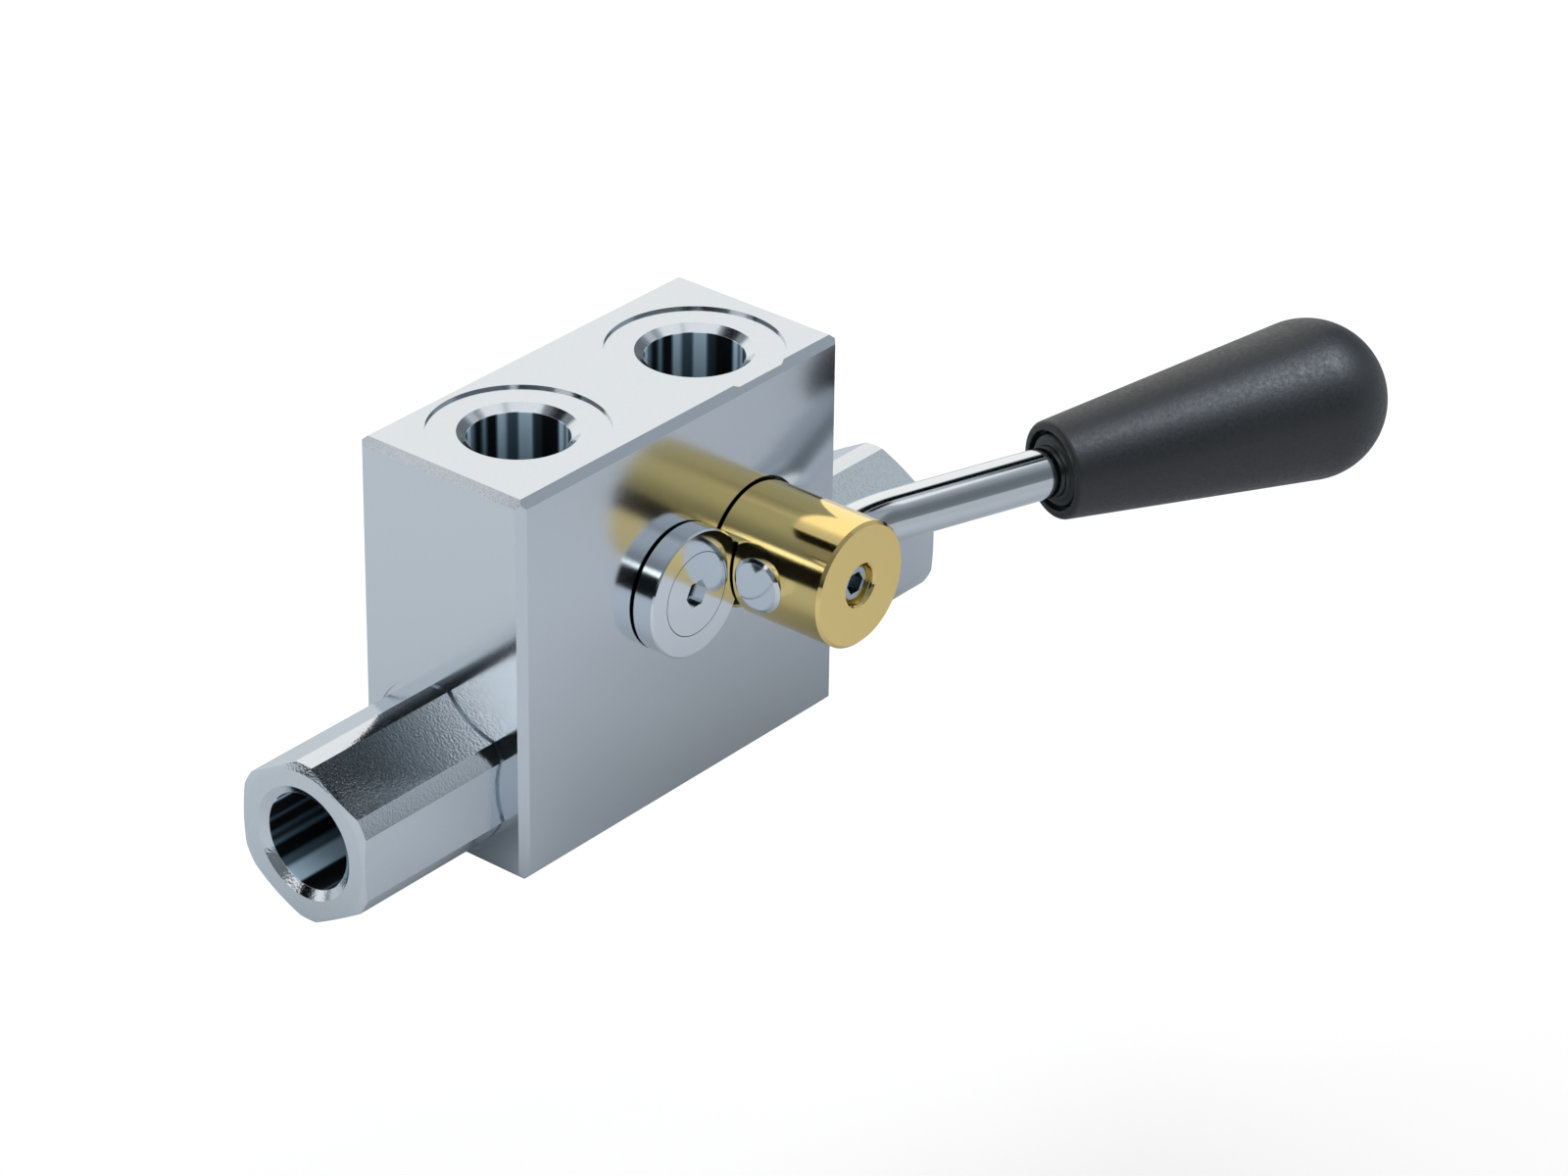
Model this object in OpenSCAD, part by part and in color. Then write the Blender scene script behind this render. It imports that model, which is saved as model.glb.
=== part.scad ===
// Hydraulic lock valve: two pilot operated check valves in one block, with a lever operated shut-off spindle.
// Millimetres. The block stands on z = 0 and is centred on x and y, its front face looks along -Y.

/* [Block] */
// Width of the block between the two side faces
block_w = 89; // [86:0.5:110]
// Depth of the block from the front face to the back
block_d = 40; // [38:0.5:56]
// Height of the block
block_h = 79; // [77:0.5:100]
// Chamfer on the outer edges of the block
block_chamfer = 1.5; // [0.6:0.1:2.5]

/* [Top ports] */
// Sideways place of the left top port
left_port_x = -23; // [-26:0.5:-21]
// Sideways place of the right top port
right_port_x = 22.5; // [20:0.5:24]
// How far the right top port sits towards the front
right_port_forward = 3; // [0:0.5:4]
// Thread depth of a top port
port_depth = 15; // [12:0.5:16]
// Diameter of the drilling below a top port
passage_d = 12; // [8:0.5:13]
// Depth of the counterbore that leads into a top port
port_lead_depth = 1.3; // [0.5:0.1:2]

/* [Pipe thread] */
// Wall diameter of the pipe thread, tapped size
thread_d = 19; // [16:0.5:20]
// Diameter of the mouth that leads into the thread
mouth_d = 22.6; // [21.5:0.1:24]
// Diameter of the spot face round a port
spot_d = 34.2; // [33:0.2:36]
// Depth of a spot face
spot_depth = 0.5; // [0.3:0.1:1]

/* [Side fittings] */
// Height of the side bores above the base
side_axis_z = 18; // [18:0.5:20]
// Length of a fitting outside the block
fitting_reach = 36.8; // [30:0.2:45]
// Width across the hexagon flats
hex_af = 30; // [28:0.5:30]
// Diameter to which the hexagon's corners are turned
hex_turned_d = 32.6; // [32:0.2:33]
// Diameter of the flat end face of a fitting
end_face_d = 29.2; // [27:0.2:30]
// Angle of the chamfer behind the end face
end_chamfer_angle = 20; // [15:1:30]
// Thread depth in the mouth of a fitting
fitting_thread_depth = 16; // [13:0.5:18]
// Depth of the counterbore at the mouth of a fitting
fitting_lead_depth = 1.2; // [0.6:0.1:3]
// Diameter of the stub that screws into the block
stub_d = 26.4; // [24:0.2:28]
// Length of the stub inside the block
stub_len = 15; // [13:0.5:15.5]

/* [Check valves] */
// Bore that guides a poppet
guide_d = 15; // [14:0.2:16]
// Depth of the guide bore from the seat ring outwards
guide_depth = 24; // [22:0.5:26]
// Hole through the shoulder that carries the spring
shoulder_hole_d = 9.5; // [8:0.5:10]
// Outer diameter of a seat ring
seat_ring_d = 19; // [18:0.5:20]
// Length of a seat ring
seat_ring_len = 4; // [3:0.5:5]
// Hole through a seat ring
seat_hole_d = 10; // [8:0.5:11]
// Length of a poppet from the cone's base to the open end of its skirt
poppet_skirt_len = 16; // [14:0.5:17]
// Wall of a poppet's skirt
poppet_wall = 1.4; // [1.2:0.1:2]
// Full lift of a poppet
poppet_lift = 4; // [2:0.5:4.5]
// Width of the relief round a poppet's flow holes
relief_w = 1.3; // [0.8:0.1:1.6]
// Number of flow holes in a poppet
poppet_holes = 4; // [3:1:6]
// Diameter of a flow hole in a poppet
poppet_hole_d = 4; // [2:0.5:4.5]
// Wire of a closing spring
spring_wire = 1.1; // [0.8:0.1:1.3]
// Number of turns of a closing spring
spring_turns = 6; // [4:1:9]

/* [Pilot piston] */
// Bore for the pilot piston
piston_bore_d = 20; // [18:0.5:22]
// Length of the piston's wide middle
piston_len = 18; // [16:0.5:20]
// Diameter of the noses that push the poppets
nose_d = 6; // [5:0.5:7]
// Gap left between a nose and its poppet
nose_gap = 2; // [1.5:0.1:3]

/* [Spindle] */
// Sideways place of the spindle
spindle_x = 20; // [18:0.5:22]
// Height of the spindle above the base
spindle_z = 45; // [44:0.5:48]
// Diameter of the spindle
spindle_d = 25; // [24:0.2:25.2]
// How far the spindle stands out of the front face
spindle_reach = 25.6; // [22:0.2:32]
// Length of the spindle behind its rear seal
rear_land = 4.7; // [3:0.1:6]
// Chamfer on the ends of the spindle
spindle_chamfer = 0.6; // [0.3:0.1:1.2]
// Chamfer round the mouth of the spindle's bore
bore_chamfer = 0.5; // [0.2:0.1:0.7]
// Turn of the lever between its two stops
lever_swing = 90; // [60:5:90]

/* [Retaining disc] */
// Sideways place of the disc
disc_x = -2.3; // [-3.5:0.1:-2]
// Diameter of the disc
disc_d = 25.2; // [24.6:0.2:26]
// Thickness of the disc
disc_t = 4.9; // [4.6:0.1:6]
// Chamfer on both edges of the disc
disc_edge = 0.3; // [0.2:0.1:0.5]
// Diameter of the countersunk head
disc_head_d = 16.4; // [14:0.2:18]
// Diameter of the screw's shank
disc_screw_d = 8; // [6:0.5:10]
// Length of the screw under the disc
disc_screw_len = 14; // [10:0.5:18]
// Width across the flats of the disc screw's socket
disc_socket_af = 5; // [4:0.5:6]

/* [Lever] */
// Diameter of the lever rod
rod_d = 10; // [8:0.5:11]
// Distance of the rod from the front face
rod_forward = 11.3; // [10.8:0.1:13]
// How far the rod's tail stands out of the spindle
tail_out = 0.6; // [0.4:0.1:4]
// Chamfer on the rod's tail
tail_chamfer = 1.1; // [0.6:0.1:1.5]
// Straight length of the rod between the spindle and the bend
rod_straight = 1.1; // [0.6:0.1:10]
// Angle of the bend away from the block
rod_bend = 19; // [0:1:30]
// Radius of the bend on the rod's centre line
rod_bend_r = 36; // [16:1:40]
// Distance from the bend to the handle
handle_start = 41.4; // [30:0.2:60]
// Diameter of the set screw
set_screw_d = 8; // [6:0.5:8]
// Depth of the set screw below the spindle's end
set_screw_sunk = 1.4; // [0.8:0.1:3]
// Width across the flats of the set screw's socket
set_socket_af = 4; // [3:0.5:4]

/* [Handle] */
// Diameter of the handle at its base
handle_base_d = 19.4; // [17:0.2:22]
// Diameter of the ball end
handle_ball_d = 32; // [28:0.5:40]
// Distance from the base to the centre of the ball
handle_ball_at = 59.8; // [45:0.2:90]
// Diameter of the bush in the handle
bush_d = 15; // [13:0.2:15.6]
// Depth of the bush in the handle
bush_depth = 30; // [20:1:40]
// Width of the open groove round the bush at the handle's base
bush_groove_w = 0.5; // [0.3:0.1:0.8]
// Length of the rod inside the bush
rod_hold = 24; // [15:1:28]

/* [Seals] */
// Cord thickness of the spindle seals
spindle_cord = 2.4; // [1.8:0.1:2.6]
// Cord thickness of the piston seal
piston_cord = 2.6; // [2:0.1:3]
// Cord thickness of the fitting seals
fitting_cord = 1.8; // [1.4:0.1:1.8]
// Thickness of a back-up ring
backup_t = 1.4; // [1:0.1:1.8]

/* [Fits] */
// Radial clearance of a part that slides or turns in its bore
run_gap = 0.03; // [0.01:0.01:0.08]
// Free space between parts that don't touch
free_gap = 0.4; // [0.3:0.1:0.6]

/* [Hidden] */
$fn = 96;

// Colours as the photographed valve shows them
steel = [0.66, 0.70, 0.73];
dark_steel = [0.45, 0.48, 0.50];
brass = [0.76, 0.67, 0.42];
plastic = [0.22, 0.24, 0.26];
seal_black = [0.08, 0.08, 0.08];
ptfe = [0.92, 0.92, 0.88];

// Clearances that no designer would set one by one
seat_gap = 0.02;
thread_gap = 0.05;
undercut_share = 0.75;
socket_depth_share = 0.6;
cut = 1;

// Places along the side bores, measured from the middle of the block
front_y = -block_d / 2;
side_x = block_w / 2;
spot_floor_x = side_x - spot_depth;
stub_end_x = spot_floor_x - stub_len;
seat_x = stub_end_x + seat_ring_len;
guide_end_x = seat_x + guide_depth;
fitting_end_x = side_x + fitting_reach;
thread_end_x = fitting_end_x - fitting_lead_depth - fitting_thread_depth;

// Check poppet: its cone meets the edge of the seat at 45 degrees
poppet_r = guide_d / 2 - run_gap;
seat_r = seat_hole_d / 2;
poppet_tip_r = nose_d / 2 + seat_gap;
cone_base_x = seat_x + poppet_r - seat_r + run_gap;
poppet_tip_x = seat_x + poppet_tip_r - seat_r + run_gap;
poppet_end_x = cone_base_x + poppet_skirt_len;
poppet_floor_x = cone_base_x + poppet_wall;
poppet_hole_x = poppet_floor_x + poppet_hole_d / 2 + free_gap;
relief_end_x = poppet_hole_x + poppet_hole_d / 2 + poppet_lift;
skirt_bore_r = poppet_r - poppet_wall;
spring_r = skirt_bore_r - free_gap / 2 - spring_wire / 2;

// Pilot piston: its noses stop short of the closed poppets
nose_tip_x = poppet_tip_x - nose_gap;
piston_r = piston_bore_d / 2 - run_gap;
piston_floor_r = piston_r - piston_cord;
piston_groove_w = piston_cord + 2 * backup_t + 2 * seat_gap;

// Seal under the shoulder of a side fitting: the ring lies in a cone at the mouth of the block's bore
stub_r = stub_d / 2;
undercut_depth = fitting_cord * undercut_share;
undercut_r = stub_r - undercut_depth;
seal_cone_r = undercut_r + fitting_cord * (1 + sqrt(2) / 2) + 3 * seat_gap;
undercut_len = fitting_cord + free_gap;

// Places of the spindle along Y
spindle_r = spindle_d / 2;
spindle_front_y = front_y - spindle_reach;
flow_y = -right_port_forward;
seal_land = 2.4;
spindle_floor_r = spindle_r - spindle_cord;
rear_groove_y = flow_y + passage_d / 2 + seal_land;
rear_groove_w = spindle_cord + 2 * seat_gap;
front_groove_w = spindle_cord + backup_t + 2 * seat_gap;
front_groove_y = flow_y - passage_d / 2 - seal_land - front_groove_w;
spindle_end_y = rear_groove_y + rear_groove_w + rear_land;
rod_y = front_y - rod_forward;

// Retaining disc and the notch that it runs in
disc_face_y = front_y - disc_t;
disc_gap_x = spindle_x - disc_x;
notch_r = disc_d / 2 + free_gap;
notch_floor_r = disc_gap_x - notch_r;
countersink_gap = 0.15;
head_rim = 0.5;
screw_hole_spare = 2;

// Lever rod: bent in the level plane, away from the block
bend_tangent = rod_bend_r * tan(rod_bend / 2);
bend_x = spindle_x + spindle_r + rod_straight + bend_tangent;
bend_lap = 0.4;
rod_chamfer = 0.6;

// Handle: a cone that leaves the base and touches the ball just under its skin
ball_touch_r = handle_ball_d / 2 - seat_gap;
handle_reach = norm([handle_ball_at, handle_base_d / 2]);
cone_turn = acos(-ball_touch_r / handle_reach) - atan2(handle_base_d / 2, handle_ball_at);
cone_end = handle_ball_at + ball_touch_r * cos(cone_turn);
cone_end_r = ball_touch_r * sin(cone_turn);
handle_edge = 0.6;
bush_edge = 1.6;
bush_groove_depth = 1.4;

// Outline turned round the X axis, points as [radius, x]
module turned_x(outline) {
  rotate([90, 0, 90]) rotate_extrude() polygon(outline);
}

// Outline turned round the Y axis, points as [radius, y]
module turned_y(outline) {
  rotate([-90, 0, 0]) rotate_extrude() polygon(outline);
}

// Round bar along X between two places
module bar_x(d, from_x, to_x) {
  translate([from_x, 0, 0]) rotate([90, 0, 90]) cylinder(d = d, h = to_x - from_x);
}

// Round bar along Y between two places
module bar_y(d, from_y, to_y) {
  translate([0, from_y, 0]) rotate([-90, 0, 0]) cylinder(d = d, h = to_y - from_y);
}

// Children as modelled for the right side, or mirrored to the left
module on_side(side) {
  translate([0, 0, side_axis_z]) mirror([side == "left" ? 1 : 0, 0, 0]) children();
}

// Children at the spindle's axis
module at_spindle() {
  translate([spindle_x, 0, spindle_z]) children();
}

// Children at the bend of the lever rod, with +X along the handle
module at_bend() {
  translate([bend_x, rod_y, spindle_z]) rotate([0, 0, -rod_bend]) children();
}

// Bar of the block's outline across one axis, with its four long edges chamfered
module chamfered_bar(w, h, len) {
  c = block_chamfer;
  linear_extrude(height = len, center = true)
    polygon([
      [-w / 2 + c, -h / 2], [w / 2 - c, -h / 2], [w / 2, -h / 2 + c], [w / 2, h / 2 - c],
      [w / 2 - c, h / 2], [-w / 2 + c, h / 2], [-w / 2, h / 2 - c], [-w / 2, -h / 2 + c]
    ]);
}

// Outer form of the block: three chamfered bars cut each other
module block_form() {
  translate([0, 0, block_h / 2]) intersection() {
    chamfered_bar(block_w, block_d, block_h);
    rotate([90, 0, 0]) chamfered_bar(block_w, block_h, block_d);
    rotate([0, 90, 0]) chamfered_bar(block_h, block_d, block_w);
  }
}

// Tapped port that opens upwards at the origin, with its spot face and the cone that leads in
module top_port() {
  translate([0, 0, -spot_depth]) {
    cylinder(d = spot_d, h = spot_depth + cut);
    translate([0, 0, -port_lead_depth]) cylinder(d1 = thread_d, d2 = mouth_d, h = port_lead_depth);
    translate([0, 0, -port_depth]) cylinder(d = thread_d, h = port_depth);
  }
}

// Bore for one side fitting, with its spot face and the cone for the seal
module side_bore() {
  bar_x(stub_d + 2 * thread_gap, stub_end_x - free_gap, spot_floor_x + cut);
  bar_x(spot_d, spot_floor_x, side_x + cut);
  translate([spot_floor_x, 0, 0]) rotate([0, -90, 0])
    cylinder(r1 = seal_cone_r, r2 = undercut_r, h = seal_cone_r - undercut_r);
}

// Bore for the spindle, with a chamfer at its mouth
module spindle_bore() {
  bore_r = spindle_r + run_gap;
  mouth_r = bore_r + bore_chamfer;
  turned_y([
    [0, front_y - cut], [mouth_r + cut, front_y - cut], [bore_r, front_y + bore_chamfer],
    [bore_r, spindle_end_y + free_gap], [0, spindle_end_y + free_gap]
  ]);
}

module valve_block() {
  passage_floor = side_axis_z;
  port_floor = block_h - spot_depth - port_depth + cut;
  color(steel) difference() {
    block_form();
    translate([left_port_x, 0, block_h]) top_port();
    translate([right_port_x, -right_port_forward, block_h]) top_port();
    translate([left_port_x, 0, passage_floor]) cylinder(d = passage_d, h = port_floor - passage_floor);
    translate([spindle_x, flow_y, passage_floor]) cylinder(d = passage_d, h = port_floor - passage_floor);
    for (side = ["left", "right"]) on_side(side) side_bore();
    translate([0, 0, side_axis_z]) bar_x(piston_bore_d, -stub_end_x, stub_end_x);
    at_spindle() spindle_bore();
    translate([disc_x, 0, spindle_z])
      bar_y(disc_screw_d + 2 * thread_gap, front_y - cut, front_y + disc_screw_len + screw_hole_spare);
  }
}

// Hexagon bar along X whose corners are turned down, with the chamfer behind its end face
module hex_body() {
  turned_r = hex_turned_d / 2;
  end_r = end_face_d / 2;
  chamfer_len = (turned_r - end_r) * tan(end_chamfer_angle);
  intersection() {
    translate([spot_floor_x, 0, 0]) rotate([0, 90, 0])
      cylinder(d = hex_af / cos(30), h = fitting_end_x - spot_floor_x, $fn = 6);
    turned_x([
      [0, spot_floor_x], [turned_r, spot_floor_x], [turned_r, fitting_end_x - chamfer_len],
      [end_r, fitting_end_x], [0, fitting_end_x]
    ]);
  }
}

module port_fitting(side) {
  color(steel) on_side(side) difference() {
    union() {
      hex_body();
      turned_x([
        [0, stub_end_x], [stub_r - spindle_chamfer, stub_end_x], [stub_r, stub_end_x + spindle_chamfer],
        [stub_r, spot_floor_x - undercut_len], [undercut_r, spot_floor_x - undercut_len],
        [undercut_r, spot_floor_x + cut], [0, spot_floor_x + cut]
      ]);
    }
    bar_x(seat_ring_d, stub_end_x - cut, seat_x);
    bar_x(guide_d + 2 * relief_w, seat_x - cut, relief_end_x);
    bar_x(guide_d, seat_x, guide_end_x);
    bar_x(shoulder_hole_d, seat_x, fitting_end_x);
    bar_x(thread_d, thread_end_x, fitting_end_x + cut);
    translate([fitting_end_x, 0, 0]) rotate([0, -90, 0])
      cylinder(d1 = mouth_d, d2 = thread_d, h = fitting_lead_depth);
  }
}

module left_port_fitting() {
  port_fitting("left");
}

module right_port_fitting() {
  port_fitting("right");
}

// Ring of round cord about the X axis, resting on a floor radius
module o_ring_x(floor_r, cord, x) {
  translate([x, 0, 0]) rotate([0, 90, 0]) rotate_extrude() translate([floor_r + cord / 2, 0]) circle(d = cord);
}

// Ring of round cord about the Y axis, resting on a floor radius
module o_ring_y(floor_r, cord, y) {
  translate([0, y, 0]) rotate([-90, 0, 0]) rotate_extrude() translate([floor_r + cord / 2, 0]) circle(d = cord);
}

module fitting_seal(side) {
  color(seal_black) on_side(side)
    o_ring_x(undercut_r + seat_gap, fitting_cord, spot_floor_x - fitting_cord / 2 - seat_gap);
}

module left_fitting_seal() {
  fitting_seal("left");
}

module right_fitting_seal() {
  fitting_seal("right");
}

module seat_ring(side) {
  ring_r = seat_ring_d / 2 - seat_gap;
  color(dark_steel) on_side(side)
    turned_x([
      [seat_r, stub_end_x], [ring_r - seat_gap, stub_end_x], [ring_r, stub_end_x + seat_gap],
      [ring_r, seat_x], [seat_r, seat_x]
    ]);
}

module left_seat_ring() {
  seat_ring("left");
}

module right_seat_ring() {
  seat_ring("right");
}

// Hollow cone poppet with a ring of flow holes behind its head
module check_poppet(side) {
  color(dark_steel) on_side(side) difference() {
    turned_x([
      [0, poppet_tip_x], [poppet_tip_r, poppet_tip_x], [poppet_r, cone_base_x], [poppet_r, poppet_end_x],
      [skirt_bore_r, poppet_end_x], [skirt_bore_r, poppet_floor_x], [0, poppet_floor_x]
    ]);
    for (i = [0 : poppet_holes - 1])
      translate([poppet_hole_x, 0, 0]) rotate([i * 360 / poppet_holes, 0, 0])
        cylinder(d = poppet_hole_d, h = guide_d);
  }
}

module left_check_poppet() {
  check_poppet("left");
}

module right_check_poppet() {
  check_poppet("right");
}

// Closing spring: one closed turn at each end, even pitch between them
steps_per_turn = 20;
wire_sides = 8;
closed_turns = 1;

function coil_rise(turn, turns, len) =
  let (closed = closed_turns * spring_wire, open = turns - 2 * closed_turns)
  turn < closed_turns ? turn * spring_wire
  : turn > turns - closed_turns ? len - spring_wire - (turns - turn) * spring_wire
  : closed + (turn - closed_turns) * (len - spring_wire - 2 * closed) / open;

module closing_spring(side) {
  len = guide_end_x - poppet_floor_x - 2 * seat_gap;
  turns = spring_turns + 2 * closed_turns;
  rings = turns * steps_per_turn;
  points = [
    for (i = [0 : rings], j = [0 : wire_sides - 1])
      let (
        turn = i / steps_per_turn,
        r = spring_r + spring_wire / 2 * cos(j * 360 / wire_sides),
        x = spring_wire / 2 + coil_rise(turn, turns, len) + spring_wire / 2 * sin(j * 360 / wire_sides)
      )
      [x, r * cos(turn * 360), r * sin(turn * 360)]
  ];
  skin = [
    for (i = [0 : rings - 1], j = [0 : wire_sides - 1])
      let (k = (j + 1) % wire_sides, a = i * wire_sides, b = a + wire_sides)
      [a + j, a + k, b + k, b + j]
  ];
  first = [for (j = [0 : wire_sides - 1]) wire_sides - 1 - j];
  last = [for (j = [0 : wire_sides - 1]) rings * wire_sides + j];
  color(dark_steel) on_side(side) translate([poppet_floor_x + seat_gap, 0, 0])
    polyhedron(points = points, faces = concat([first], skin, [last]));
}

module left_check_spring() {
  closing_spring("left");
}

module right_check_spring() {
  closing_spring("right");
}

module pilot_piston() {
  half = piston_len / 2;
  groove = piston_groove_w / 2;
  nose_r = nose_d / 2;
  edge = spindle_chamfer;
  color(dark_steel) translate([0, 0, side_axis_z])
    turned_x([
      [0, -nose_tip_x], [nose_r - edge, -nose_tip_x], [nose_r, -nose_tip_x + edge], [nose_r, -half],
      [piston_r - edge, -half], [piston_r, -half + edge], [piston_r, -groove], [piston_floor_r, -groove],
      [piston_floor_r, groove], [piston_r, groove], [piston_r, half - edge], [piston_r - edge, half],
      [nose_r, half], [nose_r, nose_tip_x - edge], [nose_r - edge, nose_tip_x], [0, nose_tip_x]
    ]);
}

module piston_o_ring() {
  color(seal_black) translate([0, 0, side_axis_z]) o_ring_x(piston_floor_r, piston_cord, 0);
}

// Back-up ring of square section beside the piston's seal
module piston_backup(side) {
  from_x = piston_cord / 2 + seat_gap / 2;
  color(ptfe) on_side(side)
    turned_x([
      [piston_floor_r + seat_gap, from_x], [piston_r, from_x],
      [piston_r, from_x + backup_t], [piston_floor_r + seat_gap, from_x + backup_t]
    ]);
}

module left_backup_ring() {
  piston_backup("left");
}

module right_backup_ring() {
  piston_backup("right");
}

// Turned form of the spindle with its seal grooves
module spindle_form() {
  c = spindle_chamfer;
  turned_y([
    [0, spindle_front_y], [spindle_r - c, spindle_front_y], [spindle_r, spindle_front_y + c],
    [spindle_r, front_groove_y], [spindle_floor_r, front_groove_y],
    [spindle_floor_r, front_groove_y + front_groove_w], [spindle_r, front_groove_y + front_groove_w],
    [spindle_r, rear_groove_y], [spindle_floor_r, rear_groove_y],
    [spindle_floor_r, rear_groove_y + rear_groove_w], [spindle_r, rear_groove_y + rear_groove_w],
    [spindle_r, spindle_end_y - c], [spindle_r - c, spindle_end_y], [0, spindle_end_y]
  ]);
}

// Space that the retaining disc takes in the spindle while the lever swings down
module disc_notch() {
  from_y = disc_face_y - free_gap;
  to_y = front_y + free_gap;
  for (turn = [0, lever_swing])
    rotate([0, -turn, 0]) translate([-disc_gap_x, 0, 0]) bar_y(2 * notch_r, from_y, to_y);
  rotate([0, -180, 0]) translate([0, from_y, 0]) rotate([-90, 0, 0]) mirror([0, 1, 0])
    rotate_extrude(angle = lever_swing) translate([notch_floor_r, 0]) square([spindle_r, to_y - from_y]);
}

module spindle() {
  hole_chamfer = 0.4;
  screw_hole_d = set_screw_d + 2 * thread_gap;
  color(brass) at_spindle() difference() {
    spindle_form();
    translate([0, flow_y, 0]) bar_x(passage_d, -spindle_d, spindle_d);
    translate([0, rod_y, 0]) bar_x(rod_d + 2 * seat_gap, -spindle_d, spindle_d);
    bar_y(screw_hole_d, spindle_front_y - cut, rod_y);
    turned_y([
      [0, spindle_front_y - cut], [screw_hole_d / 2 + hole_chamfer + cut, spindle_front_y - cut],
      [screw_hole_d / 2, spindle_front_y + hole_chamfer], [0, spindle_front_y + hole_chamfer]
    ]);
    disc_notch();
  }
}

module spindle_front_o_ring() {
  color(seal_black) at_spindle()
    o_ring_y(spindle_floor_r, spindle_cord, front_groove_y + front_groove_w - spindle_cord / 2 - seat_gap);
}

module spindle_front_backup_ring() {
  color(ptfe) at_spindle()
    turned_y([
      [spindle_floor_r + seat_gap, front_groove_y + seat_gap], [spindle_r, front_groove_y + seat_gap],
      [spindle_r, front_groove_y + backup_t], [spindle_floor_r + seat_gap, front_groove_y + backup_t]
    ]);
}

module spindle_rear_o_ring() {
  color(seal_black) at_spindle()
    o_ring_y(spindle_floor_r, spindle_cord, rear_groove_y + rear_groove_w / 2);
}

module retaining_disc() {
  sink_r = disc_head_d / 2 + countersink_gap;
  hole_r = disc_screw_d / 2 + countersink_gap;
  disc_r = disc_d / 2;
  sink_floor = disc_face_y + head_rim + sink_r - hole_r;
  color(steel) translate([disc_x, 0, spindle_z])
    turned_y([
      [sink_r, disc_face_y], [disc_r - disc_edge, disc_face_y], [disc_r, disc_face_y + disc_edge],
      [disc_r, front_y - disc_edge], [disc_r - disc_edge, front_y], [hole_r, front_y],
      [hole_r, sink_floor], [sink_r, disc_face_y + head_rim]
    ]);
}

// Hexagon socket that opens towards -Y at the origin
module hex_socket(af, depth) {
  translate([0, -cut, 0]) rotate([-90, 0, 0]) cylinder(d = af / cos(30), h = depth + cut, $fn = 6);
}

module disc_screw() {
  head_r = disc_head_d / 2;
  shank_r = disc_screw_d / 2;
  tip_y = front_y + disc_screw_len;
  color(steel) translate([disc_x, 0, spindle_z]) difference() {
    turned_y([
      [0, disc_face_y], [head_r, disc_face_y], [head_r, disc_face_y + head_rim],
      [shank_r, disc_face_y + head_rim + head_r - shank_r], [shank_r, tip_y - spindle_chamfer],
      [shank_r - spindle_chamfer, tip_y], [0, tip_y]
    ]);
    translate([0, disc_face_y, 0]) hex_socket(disc_socket_af, disc_socket_af * socket_depth_share);
  }
}

module lever_rod() {
  r = rod_d / 2;
  tail_x = spindle_x - spindle_r - tail_out;
  arc_start_x = bend_x - bend_tangent;
  rod_end = handle_start + rod_hold;
  color(steel) {
    translate([0, rod_y, spindle_z])
      turned_x([
        [0, tail_x], [r - tail_chamfer, tail_x], [r, tail_x + tail_chamfer],
        [r, arc_start_x + bend_lap], [0, arc_start_x + bend_lap]
      ]);
    at_bend() {
      translate([bend_tangent, -rod_bend_r, 0]) rotate([0, 0, 90])
        rotate_extrude(angle = rod_bend) translate([rod_bend_r, 0]) circle(r = r - seat_gap);
      turned_x([
        [0, bend_tangent - bend_lap], [r, bend_tangent - bend_lap], [r, rod_end - rod_chamfer],
        [r - rod_chamfer, rod_end], [0, rod_end]
      ]);
    }
  }
}

module lever_set_screw() {
  r = set_screw_d / 2;
  c = 0.8;
  head_y = spindle_front_y + set_screw_sunk;
  point_y = rod_y - rod_d / 2 - seat_gap;
  color(dark_steel) at_spindle() difference() {
    turned_y([
      [0, head_y], [r - c, head_y], [r, head_y + c], [r, point_y - c], [r - c, point_y], [0, point_y]
    ]);
    translate([0, head_y, 0]) hex_socket(set_socket_af, set_socket_af);
  }
}

module lever_handle() {
  base_r = handle_base_d / 2;
  mouth_r = bush_d / 2 + bush_groove_w;
  color(plastic) at_bend() translate([handle_start, 0, 0]) difference() {
    union() {
      turned_x([
        [0, 0], [base_r - handle_edge, 0], [base_r, handle_edge], [cone_end_r, cone_end], [0, cone_end]
      ]);
      translate([handle_ball_at, 0, 0]) sphere(d = handle_ball_d);
    }
    bar_x(bush_d, -cut, bush_depth);
    bar_x(2 * mouth_r, -cut, bush_groove_depth);
  }
}

module handle_bush() {
  bush_r = bush_d / 2 - seat_gap;
  bore_r = rod_d / 2 + seat_gap;
  color(plastic) at_bend() translate([handle_start, 0, 0]) difference() {
    turned_x([
      [0, 0], [bush_r - bush_edge, 0], [bush_r, bush_edge / 2], [bush_r, bush_depth - seat_gap],
      [0, bush_depth - seat_gap]
    ]);
    bar_x(2 * bore_r, -cut, rod_hold + free_gap);
  }
}

valve_block();
left_port_fitting();
right_port_fitting();
left_fitting_seal();
right_fitting_seal();
left_seat_ring();
right_seat_ring();
left_check_poppet();
right_check_poppet();
left_check_spring();
right_check_spring();
pilot_piston();
piston_o_ring();
left_backup_ring();
right_backup_ring();
spindle();
spindle_front_o_ring();
spindle_front_backup_ring();
spindle_rear_o_ring();
retaining_disc();
disc_screw();
lever_rod();
lever_set_screw();
lever_handle();
handle_bush();
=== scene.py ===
"""Looks of a hydraulic lock valve: plated steel block, side fittings, brass spindle and lever.

The classes count in millimetres unless they say metres, and Blender counts in metres. The frame
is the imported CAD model: the block stands on z = 0, is centred on x and y, and its front face
looks along -Y.
"""

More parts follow.
